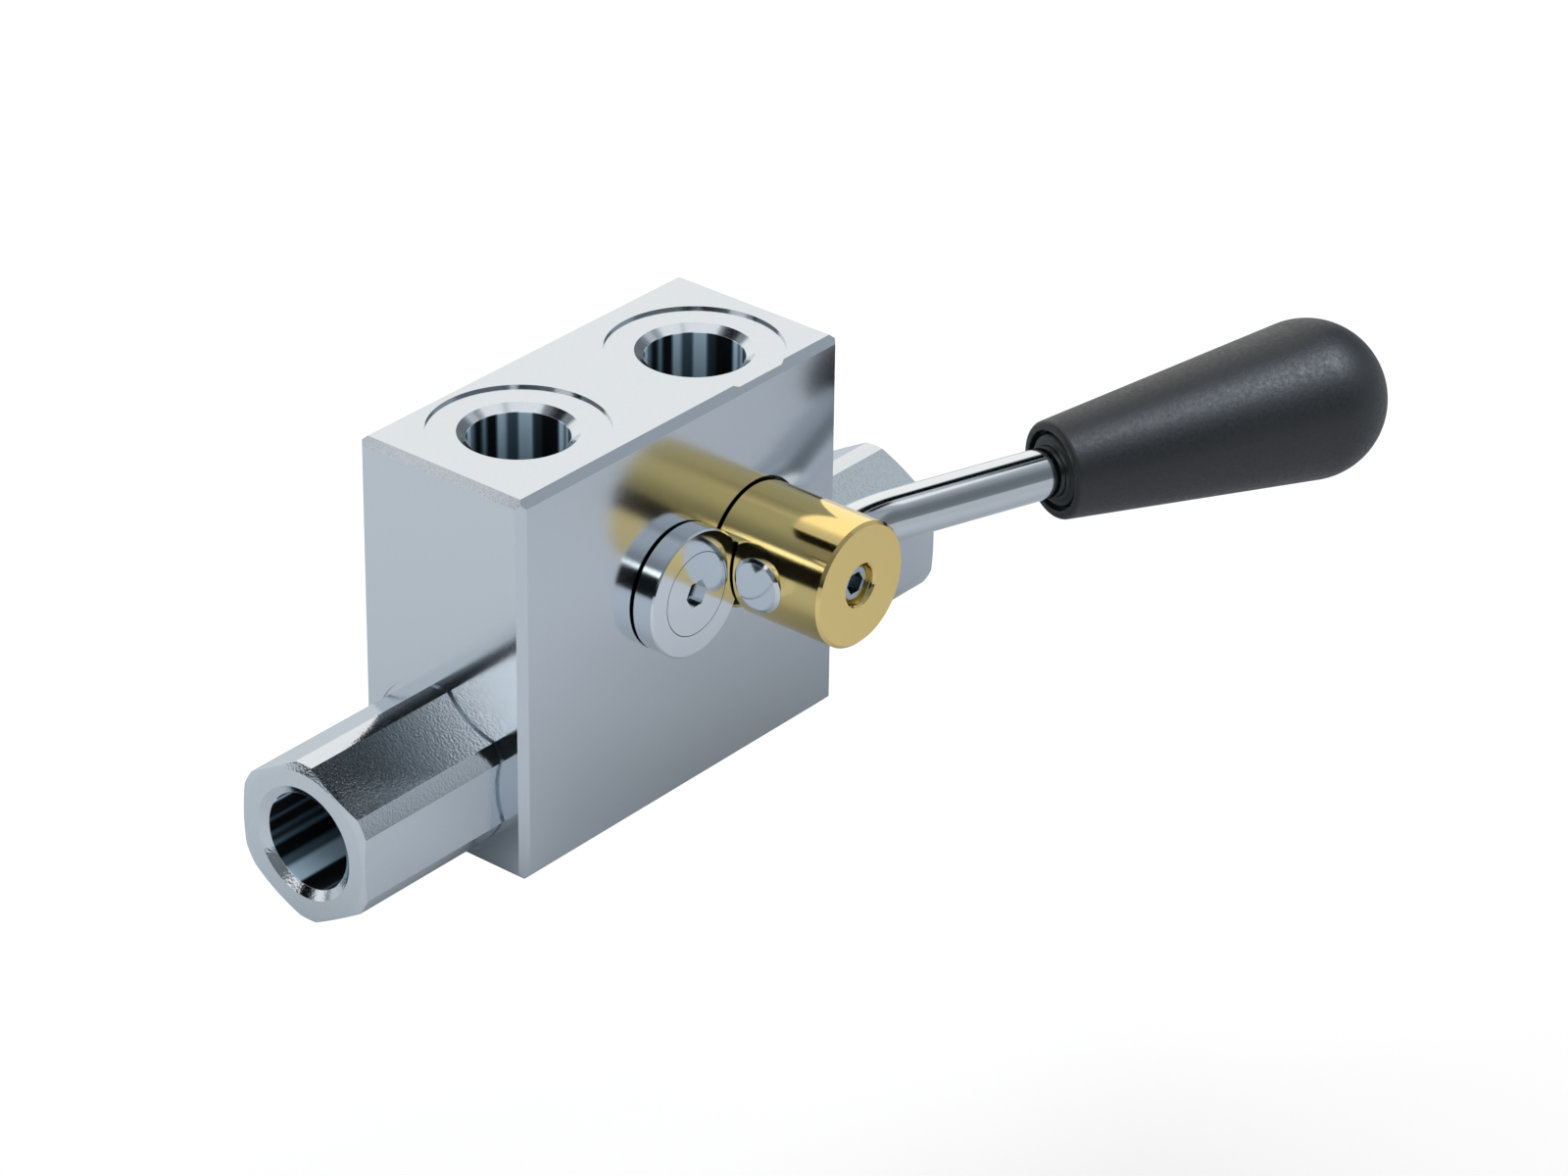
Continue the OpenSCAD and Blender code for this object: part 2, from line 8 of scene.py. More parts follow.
import logging
import math
from dataclasses import dataclass
from enum import Enum
from typing import Any, Sequence

import bpy
import numpy as np
from mathutils import Matrix, Vector


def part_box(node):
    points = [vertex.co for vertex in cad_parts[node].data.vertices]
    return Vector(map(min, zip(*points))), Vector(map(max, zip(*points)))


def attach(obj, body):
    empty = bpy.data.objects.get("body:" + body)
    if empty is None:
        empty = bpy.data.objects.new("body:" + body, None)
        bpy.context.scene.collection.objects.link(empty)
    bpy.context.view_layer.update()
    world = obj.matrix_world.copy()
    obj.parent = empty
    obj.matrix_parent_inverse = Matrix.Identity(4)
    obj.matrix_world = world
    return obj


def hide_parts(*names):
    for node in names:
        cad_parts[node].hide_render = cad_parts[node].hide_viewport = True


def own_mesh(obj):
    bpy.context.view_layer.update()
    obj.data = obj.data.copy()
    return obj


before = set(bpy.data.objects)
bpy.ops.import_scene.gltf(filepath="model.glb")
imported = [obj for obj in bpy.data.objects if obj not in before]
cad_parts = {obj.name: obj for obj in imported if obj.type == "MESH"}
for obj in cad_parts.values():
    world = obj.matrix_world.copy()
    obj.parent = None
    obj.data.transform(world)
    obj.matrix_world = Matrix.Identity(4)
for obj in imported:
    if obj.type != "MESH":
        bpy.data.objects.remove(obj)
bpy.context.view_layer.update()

MM = 0.001
MICROMETRE = 1e-6
ARC_STEPS = 8
log = logging.getLogger("lock_valve")

Material = bpy.types.Material
Mesh = bpy.types.Mesh
Node = bpy.types.Node
Object = bpy.types.Object
Socket = bpy.types.NodeSocket
Triple = tuple[float, float, float]
Stops = tuple[tuple[float, str], ...]

BLACK = "#050607"
# Colour of the painted shade in the joints at the block's front face
SEAM_SHADE_BLACK = "#050505"
WHITE = "#FFFFFF"
WARM_WHITE = "#FFFDFA"


# ---- colours and nodes


def linear(code: str) -> tuple[float, float, float, float]:
    """Turn an sRGB hex colour into the linear RGBA that Blender's sockets take.

    Args:
        code: six hex digits after a hash.

    Returns:
        Linear red, green, blue and an alpha of 1.
    """
    parts = [int(code[i : i + 2], 16) / 255 for i in (1, 3, 5)]
    red, green, blue = (
        c / 12.92 if c <= 0.04045 else ((c + 0.055) / 1.055) ** 2.4 for c in parts
    )
    return (red, green, blue, 1.0)


class Lay(Enum):
    """Direction of an axis: that of a bore, or the one that tool marks run about."""

    NONE = ""
    ALONG_X = "X"
    ALONG_Y = "Y"
    ALONG_Z = "Z"


class Nodes:
    """A node tree with short ways to add to it. Sockets go in, and sockets come out."""

    def __init__(self, tree: bpy.types.NodeTree) -> None:
        """Take the node tree of a material or a world, and empty it."""
        self.tree = tree
        tree.nodes.clear()

    def fill(self, node: Node, inputs: dict[Any, Any]) -> None:
        """Set or link the inputs of a node.

        Args:
            node: the node.
            inputs: a value or a socket for each input, by name or number.
        """
        for key, value in inputs.items():
            if isinstance(value, Socket):
                self.tree.links.new(value, node.inputs[key])
            else:
                node.inputs[key].default_value = value

    def add(self, kind: str, inputs: dict[Any, Any] | None = None, **settings: Any) -> Node:
        """Add one node with its settings, its input values and its links.

        Args:
            kind: Blender's node type name.
            inputs: a value or a socket for each input, by name or number.
            **settings: properties of the node itself.

        Returns:
            The new node.
        """
        node = self.tree.nodes.new(kind)
        for key, value in settings.items():
            setattr(node, key, value)
        self.fill(node, inputs or {})
        return node

    def show(self, result: Node, kind: str = "ShaderNodeOutputMaterial") -> None:
        """Send a shader's node to the material's output, or to another kind of output."""
        self.add(kind, {"Surface": result.outputs[0]})

    def place(self) -> Socket:
        """Object coordinates in metres, the same for every piece because none is moved."""
        return self.add("ShaderNodeTexCoord").outputs["Object"]

    def parts(self, vector: Socket) -> Any:
        """Split a vector into the outputs X, Y and Z."""
        return self.add("ShaderNodeSeparateXYZ", {"Vector": vector}).outputs

    def maths(self, operation: str, *values: Socket | float) -> Socket:
        """Calculate with Blender's operation of that name."""
        return self.add("ShaderNodeMath", dict(enumerate(values)), operation=operation).outputs[0]

    def stretched(
        self,
        value: Socket,
        source: tuple[float, float],
        target: tuple[float, float] = (0.0, 1.0),
        curve: str = "LINEAR",
    ) -> Socket:
        """Map the source's two ends to the target's, along a curve, and clamp the value there."""
        ends = zip(("From Min", "From Max", "To Min", "To Max"), source + target)
        inputs = {"Value": value, **dict(ends)}
        return self.add("ShaderNodeMapRange", inputs, interpolation_type=curve).outputs["Result"]

    def ramp(self, factor: Socket, stops: Stops) -> Socket:
        """Turn a value into a colour by rising stops from 0 to 1 in sRGB hex."""
        node = self.add("ShaderNodeValToRGB", {"Fac": factor})
        elements = node.color_ramp.elements
        while len(elements) < len(stops):
            elements.new(1.0)
        for element, (place, code) in zip(elements, stops):
            element.position = place
            element.color = linear(code)
        return node.outputs["Color"]

    def mixed(self, share: Socket, low: Any, high: Any) -> Socket:
        """Mix two colours, each a socket or linear RGBA, with a share of the second."""
        return self.add("ShaderNodeMix", {0: share, 6: low, 7: high}, data_type="RGBA").outputs[2]

    def noise(self, place: Socket, width: float, detail: float = 2.0) -> Socket:
        """Take a noise around 0.5 whose patches have a width in millimetres."""
        inputs = {"Vector": place, "Scale": 1 / (width * MM), "Detail": detail}
        return self.add("ShaderNodeTexNoise", inputs).outputs["Fac"]

    def raised(self, height: Socket, depth: float, under: Socket | None = None) -> Socket:
        """Add a bump.

        Args:
            height: height from 0 to 1.
            depth: what a height of 1 stands for, in micrometres.
            under: the normal that it adds to, if there is one.

        Returns:
            The bumped normal.
        """
        inputs = {"Height": height, "Strength": 1.0, "Distance": depth * MICROMETRE}
        if under is not None:
            inputs["Normal"] = under
        return self.add("ShaderNodeBump", inputs).outputs["Normal"]

    def grained(self, grain: Socket, roughness: float, spread: float) -> Socket:
        """Spread the roughness by a noise, nearly all of which lies between 0.3 and 0.7."""
        return self.stretched(grain, (0.3, 0.7), (roughness, roughness + spread))

    def off_axis(
        self, place: Socket, lay: Lay, centre: Sequence[float]
    ) -> tuple[Socket, Socket, Socket]:
        """Split coordinates into a distance from an axis and a place along it.

        Args:
            place: object coordinates.
            lay: direction of the axis.
            centre: a point of the axis.

        Returns:
            Distance from the axis, place along it, and the coordinates without that place.
        """
        shift = tuple(-c * MM for c in centre)
        centred = self.add("ShaderNodeMapping", {"Vector": place, "Location": shift})
        parts = self.parts(centred.outputs["Vector"])
        kept = {axis: parts[axis] for axis in "XYZ" if axis != lay.value}
        flat = self.add("ShaderNodeCombineXYZ", kept).outputs["Vector"]
        radius = self.add("ShaderNodeVectorMath", {0: flat}, operation="LENGTH").outputs["Value"]
        return radius, parts[lay.value], flat


def new_material(name: str) -> tuple[Material, Nodes]:
    """Make a material with an empty node tree.

    Args:
        name: the material's name.

    Returns:
        The material and its nodes.
    """
    material = bpy.data.materials.new(name)
    material.use_nodes = True
    return material, Nodes(material.node_tree)


def new_principled(name: str) -> tuple[Material, Nodes, Node]:
    """Make a material with one Principled shader.

    Args:
        name: the material's name.

    Returns:
        The material, its nodes and the shader.
    """
    material, nodes = new_material(name)
    shader = nodes.add("ShaderNodeBsdfPrincipled")
    nodes.show(shader)
    return material, nodes, shader


# ---- finishes


@dataclass(frozen=True)
class Bore:
    """A round bore whose wall carries painted streaks along its axis: painted shade that darkens
    the deep bore, and painted reflections as pale bluish streaks. The wall is also rougher and
    less metallic.

    Attributes:
        lay: direction of its axis.
        centre: a point of its axis.
        radius: radius of the wall.
        ends: lowest and highest place of the wall along the axis, from the centre.
        slack: how far outside the radius a point still counts as wall.
        fade: width over which the painted streaks then end.
        streak_mm: width of one streak.
        film: colours of the streaks, by the value of their noise.
        film_roughness: roughness of the painted wall.
        metal_hidden: share of the metallic value that the painted wall gives up.
    """

    lay: Lay
    centre: Triple
    radius: float
    ends: tuple[float, float]
    slack: float = 0.05
    fade: float = 0.1
    streak_mm: float = 3.6
    film: Stops = (
        (0.475, "#050607"), (0.54, "#4E6474"), (0.62, "#BFDDF0"),
    )
    film_roughness: float = 0.4
    metal_hidden: float = 0.85

    def coat(
        self, nodes: Nodes, place: Socket, tone: Socket, sheen: Socket, metal: Socket | float
    ) -> tuple[Socket, Socket, Socket]:
        """Paint streaks of shade and reflection on the wall, make it rougher and less metallic,
        and leave everything else as it is.

        Args:
            nodes: the material's nodes.
            place: object coordinates.
            tone: base colour so far.
            sheen: roughness so far.
            metal: metallic value so far.

        Returns:
            The base colour, the roughness and the metallic value with the film.
        """
        radius, along, flat = nodes.off_axis(place, self.lay, self.centre)
        edge = (self.radius + self.slack) * MM
        near = nodes.stretched(radius, (edge + self.fade * MM, edge))
        middle = sum(self.ends) / 2 * MM
        reach = (self.ends[1] - self.ends[0]) / 2 * MM
        wall = nodes.maths("MULTIPLY", near, nodes.maths("COMPARE", along, middle, reach))
        # Painted shade and painted reflections: streaks from black to pale bluish white along the
        # bore
        streaks = nodes.ramp(nodes.noise(flat, self.streak_mm, 1.0), self.film)
        tone = nodes.mixed(wall, tone, streaks)
        sheen = nodes.add("ShaderNodeMix", {0: wall, 2: sheen, 3: self.film_roughness}).outputs[0]
        return tone, sheen, nodes.maths("MULTIPLY_ADD", wall, -self.metal_hidden, metal)


@dataclass(frozen=True)
class Finish:
    """What every surface has: two colours and a grain.

    Attributes:
        name: the material's name.
        colour: base colour, sRGB hex.
        tint: second colour, which the grain of a metal or the patches of a moulding bring in.
        roughness: roughness between the grains.
        rough_spread: how much the grain adds to it.
        grain_mm: width of one grain, or of one pebble of a mould's texture.
        grain_um: its height in micrometres.
    """

    name: str
    colour: str
    tint: str
    roughness: float
    rough_spread: float = 0.04
    grain_mm: float = 0.3
    grain_um: float = 1.0


@dataclass(frozen=True)
class MetalFinish(Finish):
    """A bare or plated metal surface.

    Attributes:
        peel_mm: width of the soft waves under the grain, 0 for none.
        peel_um: height of those waves.
        lay: the axis that the tool marks run about.
        lay_mm: distance between tool marks.
        lay_um: height of the tool marks.
        centre: a point of that axis.
        bores: bores whose walls carry painted streaks of shade and reflection.
        seam_y: place along Y of the joint along which shade is painted.
        seam_mm: how far that painted line of shade reaches, 0 for none.
        seam_core: share of that reach before it starts to fade.
    """

    peel_mm: float = 0.0
    peel_um: float = 0.0
    lay: Lay = Lay.NONE
    lay_mm: float = 0.4
    lay_um: float = 0.5
    centre: Triple = (0.0, 0.0, 0.0)
    bores: tuple[Bore, ...] = ()
    seam_y: float = -20.0
    seam_mm: float = 0.0
    seam_core: float = 0.75

    def build(self) -> Material:
        """Make the material: a noise for the grain, one for the waves, rings for the tool marks.

        Returns:
            The finished material.
        """
        material, nodes, shader = new_principled(self.name)
        place = nodes.place()
        grain = nodes.noise(place, self.grain_mm)
        tone = nodes.mixed(grain, linear(self.colour), linear(self.tint))
        sheen = nodes.grained(grain, self.roughness, self.rough_spread)
        normal = nodes.raised(grain, self.grain_um)
        if self.peel_mm > 0:
            waves = nodes.noise(place, self.peel_mm, 1.0)
            normal = nodes.raised(waves, self.peel_um, normal)
        if self.lay is not Lay.NONE:
            # Rings that turning leaves: noise of (distance from the axis + place along it)
            radius, along, _ = nodes.off_axis(place, self.lay, self.centre)
            line = nodes.add("ShaderNodeCombineXYZ", {"X": nodes.maths("ADD", radius, along)})
            marks = nodes.noise(line.outputs["Vector"], self.lay_mm, 3.0)
            normal = nodes.raised(marks, self.lay_um, normal)
        metal: Socket | float = 1.0
        for bore in self.bores:
            tone, sheen, metal = bore.coat(nodes, place, tone, sheen, metal)
        if self.seam_mm > 0:
            # Painted shade: a dark line where the piece leaves the block's front face
            away = nodes.maths("SUBTRACT", nodes.parts(place)["Y"], self.seam_y * MM)
            reach = self.seam_mm * MM
            span = (reach * self.seam_core, reach)
            outside_seam_shade = nodes.stretched(nodes.maths("ABSOLUTE", away), span)
            tone = nodes.mixed(outside_seam_shade, linear(SEAM_SHADE_BLACK), tone)
        inputs = {"Base Color": tone, "Roughness": sheen, "Metallic": metal, "Normal": normal}
        nodes.fill(shader, inputs)
        return material


@dataclass(frozen=True)
class MouldedFinish(Finish):
    """A moulded plastic or rubber surface.

    Attributes:
        patch_mm: width of the slightly paler patches.
        specular: specular level on the shader's own socket.
    """

    patch_mm: float = 9.0
    specular: float = 0.5

    def build(self) -> Material:
        """Make the material: a fine noise for the pebbles, a wide one for soft patches.

        Returns:
            The finished material.
        """
        material, nodes, shader = new_principled(self.name)
        place = nodes.place()
        pebbles = nodes.noise(place, self.grain_mm)
        patches = nodes.noise(place, self.patch_mm, 3.0)
        inputs = {
            "Base Color": nodes.mixed(patches, linear(self.colour), linear(self.tint)),
            "Roughness": nodes.grained(pebbles, self.roughness, self.rough_spread),
            "Normal": nodes.raised(pebbles, self.grain_um),
            "Specular IOR Level": self.specular,
        }
        nodes.fill(shader, inputs)
        return material


PORT_BORE_R = 9.5
TOP_PORT_WALL = (45.0, 78.5)
SIDE_PORT_WALL = (-82.0, 82.0)
SIDE_PORT_AXIS = (0.0, 0.0, 18.0)
DISC_AXIS = (-2.3, 0.0, 45.0)
SPINDLE_AXIS = (20.0, 0.0, 45.0)


class Finishes:
    """Every finish of the valve, built once."""

    def __init__(self) -> None:
        """Build the materials."""
        # Bright zinc-nickel plate on ground steel: a near mirror whose grain blurs far things.
        # Real grinding grain is some 0.05 mm wide; here it is as coarse as it needs to show
        self.block = MetalFinish(
            "bright_plated_ground_steel", "#DAE0E5", "#D2D9DF", 0.12, 0.05,
            grain_mm=0.35, grain_um=0.8, peel_mm=1.6, peel_um=1.2,
            # Port walls with painted streaks of shade and reflection
            bores=(
                Bore(Lay.ALONG_Z, (-23.0, 0.0, 0.0), PORT_BORE_R, TOP_PORT_WALL),
                Bore(Lay.ALONG_Z, (22.5, -3.0, 0.0), PORT_BORE_R, TOP_PORT_WALL),
            ),
        ).build()
        # The same plate on turned hexagon bar, whose grain is coarse enough to show as pebbles
        self.fitting = MetalFinish(
            "bright_plated_turned_steel", "#DAE0E5", "#D0D7DD", 0.08, 0.05,
            grain_mm=0.5, grain_um=28.0, peel_mm=1.8, peel_um=2.0,
            lay=Lay.ALONG_X, lay_mm=0.5, lay_um=0.5, centre=SIDE_PORT_AXIS,
            # Bore wall with painted streaks of shade and reflection
            bores=(Bore(Lay.ALONG_X, SIDE_PORT_AXIS, PORT_BORE_R, SIDE_PORT_WALL),),
        ).build()
        # The same plate on a turned disc, rings about its own axis
        self.disc = MetalFinish(
            "bright_plated_turned_disc", "#F0F6FA", "#E4EAEF", 0.09,
            # seam_mm paints a dark line of shade where the disc meets the block's front face
            grain_um=0.5, lay=Lay.ALONG_Y, lay_um=0.3, centre=DISC_AXIS, seam_mm=0.55,
        ).build()
        # Turned free-cutting brass, lightly brushed; rings drawn coarser than real, to show
        self.brass = MetalFinish(
            "turned_brass", "#FEE297", "#FADB8E", 0.08, grain_um=0.7,
            # seam_mm paints a dark line of shade where the spindle leaves the block's front face
            lay=Lay.ALONG_Y, lay_mm=0.35, lay_um=0.4, centre=SPINDLE_AXIS, seam_mm=0.55,
        ).build()
        # Hard chrome on ground bar: a mirror with hardly any grain
        self.chrome = MetalFinish(
            "hard_chrome_on_ground_bar", "#E2E7EB", "#DCE2E6", 0.08, 0.03, 0.5, 0.2
        ).build()
        # Ground and hardened valve steel: bare, greyer and duller than the plate
        self.hardened = MetalFinish(
            "hardened_ground_steel", "#9A9C9E", "#8A8C8F", 0.22, 0.08
        ).build()
        # Oil tempered spring wire: dull, brownish grey
        self.spring = MetalFinish(
            "oil_tempered_spring_wire", "#8F8D8A", "#7C7A78", 0.32, 0.1, 0.2, 2.0
        ).build()
        # Zinc plated screw steel: bluish and satin
        self.screw = MetalFinish(
            "zinc_plated_screw_steel", "#C2CCD4", "#AEB9C3", 0.2, 0.08, 0.25
        ).build()
        # Glass filled nylon from a finely spark eroded mould: near black, pebbled sheen
        self.grip = MouldedFinish(
            "moulded_glass_filled_nylon", "#0B0D10", "#131619", 0.4, 0.14, 0.8, 42.0, specular=0.8
        ).build()
        # Moulded acetal bush: smoother and a little glossier than the grip
        self.bush = MouldedFinish(
            "moulded_acetal", "#101314", "#181C1D", 0.34, 0.08, 0.25, 5.0
        ).build()
        # Nitrile rubber cord, moulded, slightly oily
        self.nitrile = MouldedFinish(
            "moulded_nitrile_rubber", "#151515", "#1B1B1B", 0.45, 0.1, 0.2, 4.0
        ).build()
        # Machined PTFE: waxy white
        self.ptfe = MouldedFinish(
            "machined_ptfe", "#EDECE6", "#E4E2DA", 0.42, 0.1, 0.2, 3.0
        ).build()


# ---- surfaces


def rounded_outline(corners: Sequence[Triple]) -> tuple[np.ndarray, np.ndarray]:
    """Round the corners of an outline with arcs that touch both edges.

    Args:
        corners: along, radius and rounding radius of each corner, in order.

    Returns:
        The places along the axis and the radii of the rounded outline.
    """
    points = np.array([(a, r) for a, r, _ in corners], float)
    rows = [points[:1]]
    for i in range(1, len(corners) - 1):
        before, here, after = points[i - 1], points[i], points[i + 1]
        radius = corners[i][2]
        if radius <= 0:
            rows.append(here[None])
            continue
        u, w = ((p - here) / np.linalg.norm(p - here) for p in (before, after))
        half = math.acos(float(np.clip(u @ w, -1, 1))) / 2
        middle = here + (u + w) / np.linalg.norm(u + w) * radius / math.sin(half)
        start, end = (here + edge * radius / math.tan(half) - middle for edge in (u, w))
        turn = math.atan2(start[0] * end[1] - start[1] * end[0], start @ end)
        angle = np.linspace(0, turn, ARC_STEPS + 1)[:, None]
        side = np.array([-start[1], start[0]])
        rows.append(middle + np.cos(angle) * start + np.sin(angle) * side)
    rows.append(points[-1:])
    outline = np.concatenate(rows)
    return outline[:, 0], outline[:, 1]


def tube_mesh(
    name: str, centres: np.ndarray, across: np.ndarray, up: np.ndarray, radii: np.ndarray,
    segments: int,
) -> Mesh:
    """Carry a circle along a path: point = centre + radius * (cos(a) * across + sin(a) * up).

    Args:
        name: the mesh's name.
        centres: centre of each ring, one row each; the first and last have radius 0.
        across: unit vector of each ring's zero angle.
        up: unit vector a quarter turn on.
        radii: radius of each ring.
        segments: points round a ring.

    Returns:
        A closed mesh in metres, with one vertex at each pole.
    """
    angle = np.linspace(0, 2 * np.pi, segments, endpoint=False)
    rings = slice(1, -1)
    cosine, sine = np.cos(angle)[None, :, None], np.sin(angle)[None, :, None]
    body = centres[rings, None] + radii[rings, None, None] * (
        cosine * across[rings, None] + sine * up[rings, None]
    )
    count = len(centres) - 2
    points = np.concatenate([body.reshape(-1, 3), centres[:1], centres[-1:]]) * MM
    here = np.arange(segments)
    ahead = (here + 1) % segments
    first = np.full(segments, count * segments)
    top = (count - 1) * segments
    # The faces of the grid, turned over so that they look outwards
    faces = [face[:1] + face[:0:-1] for face in grid_faces(count, segments, closed=True)]
    faces += np.stack([first, ahead, here], -1).tolist()
    faces += np.stack([first + 1, top + here, top + ahead], -1).tolist()
    mesh = new_mesh(name, points, faces)
    mesh.validate()
    return mesh


def sphere_points(radius: float, azimuth: np.ndarray, elevation: np.ndarray) -> np.ndarray:
    """Take points of a sphere, a along rows: radius * (cos e cos a, cos e sin a, sin e)."""
    a, e = azimuth[None, :], elevation[:, None]
    return radius * np.stack(
        [np.cos(e) * np.cos(a), np.cos(e) * np.sin(a), np.sin(e) + 0 * a], -1
    )


def grid_faces(rows: int, columns: int, closed: bool = False) -> list[list[int]]:
    """List the faces between rows and columns of points.

    Args:
        rows: number of rows.
        columns: number of columns.
        closed: whether the last column joins the first.

    Returns:
        Four vertex numbers for each face.
    """
    spans = columns if closed else columns - 1
    i, j = np.meshgrid(np.arange(rows - 1), np.arange(spans), indexing="ij")
    k = (j + 1) % columns
    near, far = i * columns, (i + 1) * columns
    return np.stack([near + j, far + j, far + k, near + k], -1).reshape(-1, 4).tolist()


def new_mesh(
    name: str, points: np.ndarray, faces: list[list[int]], material: Material | None = None
) -> Mesh:
    """Make a mesh.

    Args:
        name: the mesh's name.
        points: its vertices in metres, three numbers in each last row.
        faces: the vertex numbers of each face.
        material: its material, if it is known yet.

    Returns:
        The mesh.
    """
    mesh = bpy.data.meshes.new(name)
    mesh.from_pydata(points.reshape(-1, 3).tolist(), [], faces)
    if material is not None:
        mesh.materials.append(material)
    return mesh


def put(data: bpy.types.ID) -> Object:
    """Put a mesh, a lamp or a camera in the scene.

    Args:
        data: what the object shows, and whose name it takes.

    Returns:
        The new object.
    """
    thing = bpy.data.objects.new(data.name, data)
    bpy.context.scene.collection.objects.link(thing)
    return thing


def finish_piece(
    mesh: Mesh, material: Material, body: str, replaced: str, sharp: float = 40.0
) -> Object:
    """Put a mesh in the scene as a piece of the valve.

    Args:
        mesh: the piece's mesh, in place.
        material: its finish.
        body: CAD body that it rides on.
        replaced: CAD node that it stands for.
        sharp: edges that turn more than this many degrees stay sharp.

    Returns:
        The piece's object.
    """
    piece = put(mesh)
    mesh.materials.append(material)
    mesh.shade_smooth()
    mesh.set_sharp_from_angle(angle=math.radians(sharp))
    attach(piece, body)
    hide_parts(replaced)
    log.info("%s: %d faces on %s, for %s", piece.name, len(mesh.polygons), body, replaced)
    return piece


def dress(material: Material, *names: str) -> None:
    """Give CAD nodes their finish.

    Args:
        material: the finish.
        *names: names of the nodes.
    """
    for name in names:
        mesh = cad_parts[name].data
        mesh.materials.clear()
        mesh.materials.append(material)
        log.info("%s: %s", name, material.name)


# ---- sub-assemblies


class Side(Enum):
    """The two sides of the valve, with the direction in X that leads out of each."""

    LEFT = -1.0
    RIGHT = 1.0

    def __str__(self) -> str:
        """Name the side as the CAD nodes do."""
        return self.name.lower()


@dataclass
class Housing:
    """The block with what is screwed into it: fittings, seals, seats and the retaining disc."""

    finishes: Finishes

    def dress(self) -> None:
        """Give each node of the housing its finish."""
        f = self.finishes
        dress(f.block, "valve_block")
        dress(f.disc, "retaining_disc", "disc_screw")
        for side in Side:
            dress(f.fitting, f"{side}_port_fitting")
            dress(f.nitrile, f"{side}_fitting_seal")
            dress(f.hardened, f"{side}_seat_ring")


@dataclass
class CheckMechanism:
    """Poppets, closing springs and the pilot piston between them.

    A spring has open_turns that are apart and closed_turns that touch at each end.
    """

    finishes: Finishes
    wire: float = 1.1
    open_turns: float = 6.0
    closed_turns: float = 1.0
    lift: float = 4.0
    turn_steps: int = 48
    wire_segments: int = 16

    def dress(self) -> None:
        """Give each node of the mechanism its finish, and wind the closing springs."""
        f = self.finishes
        for side in Side:
            dress(f.hardened, f"{side}_check_poppet")
            dress(f.ptfe, f"{side}_backup_ring")
            self._spring(side)
        dress(f.hardened, "pilot_piston")
        dress(f.nitrile, "piston_o_ring")

    def _spring(self, side: Side) -> None:
        """Wind a closing spring.

        The wire is a circle carried along a helix: even pitch, with closed turns at each end.

        Args:
            side: the spring's side; its fixed end is the outer one.
        """
        node = f"{side}_check_spring"
        low, high = (np.array(corner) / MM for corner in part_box(node))
        middle, length = (low + high) / 2, high[0] - low[0]
        coil_r = (high[2] - low[2] - self.wire) / 2
        turns = self.open_turns + 2 * self.closed_turns
        closed = self.closed_turns * self.wire
        turn = np.linspace(0.0, turns, int(turns * self.turn_steps) + 1)
        climb = np.interp(
            turn,
            [0.0, self.closed_turns, turns - self.closed_turns, turns],
            [0.0, closed, length - self.wire - closed, length - self.wire],
        )
        along = middle[0] + side.value * (self.wire / 2 + climb - length / 2)
        angle = 2 * np.pi * turn
        still = 0 * angle
        radial = np.stack([still, np.cos(angle), np.sin(angle)], -1)
        centres = coil_r * radial + np.stack([along, still + middle[1], still + middle[2]], -1)
        centres = np.concatenate([centres[:1], centres, centres[-1:]])
        radial = np.concatenate([radial[:1], radial, radial[-1:]])
        up = np.tile([-1.0, 0.0, 0.0], (len(radial), 1))
        radii = np.full(len(radial), self.wire / 2)
        radii[[0, -1]] = 0.0
        name = f"{side}_closing_spring_wire"
        mesh = tube_mesh(name, centres, radial, up, radii, self.wire_segments)
        piece = finish_piece(mesh, self.finishes.spring, "valve_body", node)
        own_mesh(piece)


@dataclass
class Spindle:
    """The brass shut-off spindle with its seals and the set screw that holds the lever."""

    finishes: Finishes

    def dress(self) -> None:
        """Give each node of the spindle its finish."""
        f = self.finishes
        dress(f.brass, "spindle")
        dress(f.screw, "lever_set_screw")
        dress(f.nitrile, "spindle_front_o_ring", "spindle_rear_o_ring")
        dress(f.ptfe, "spindle_front_backup_ring")


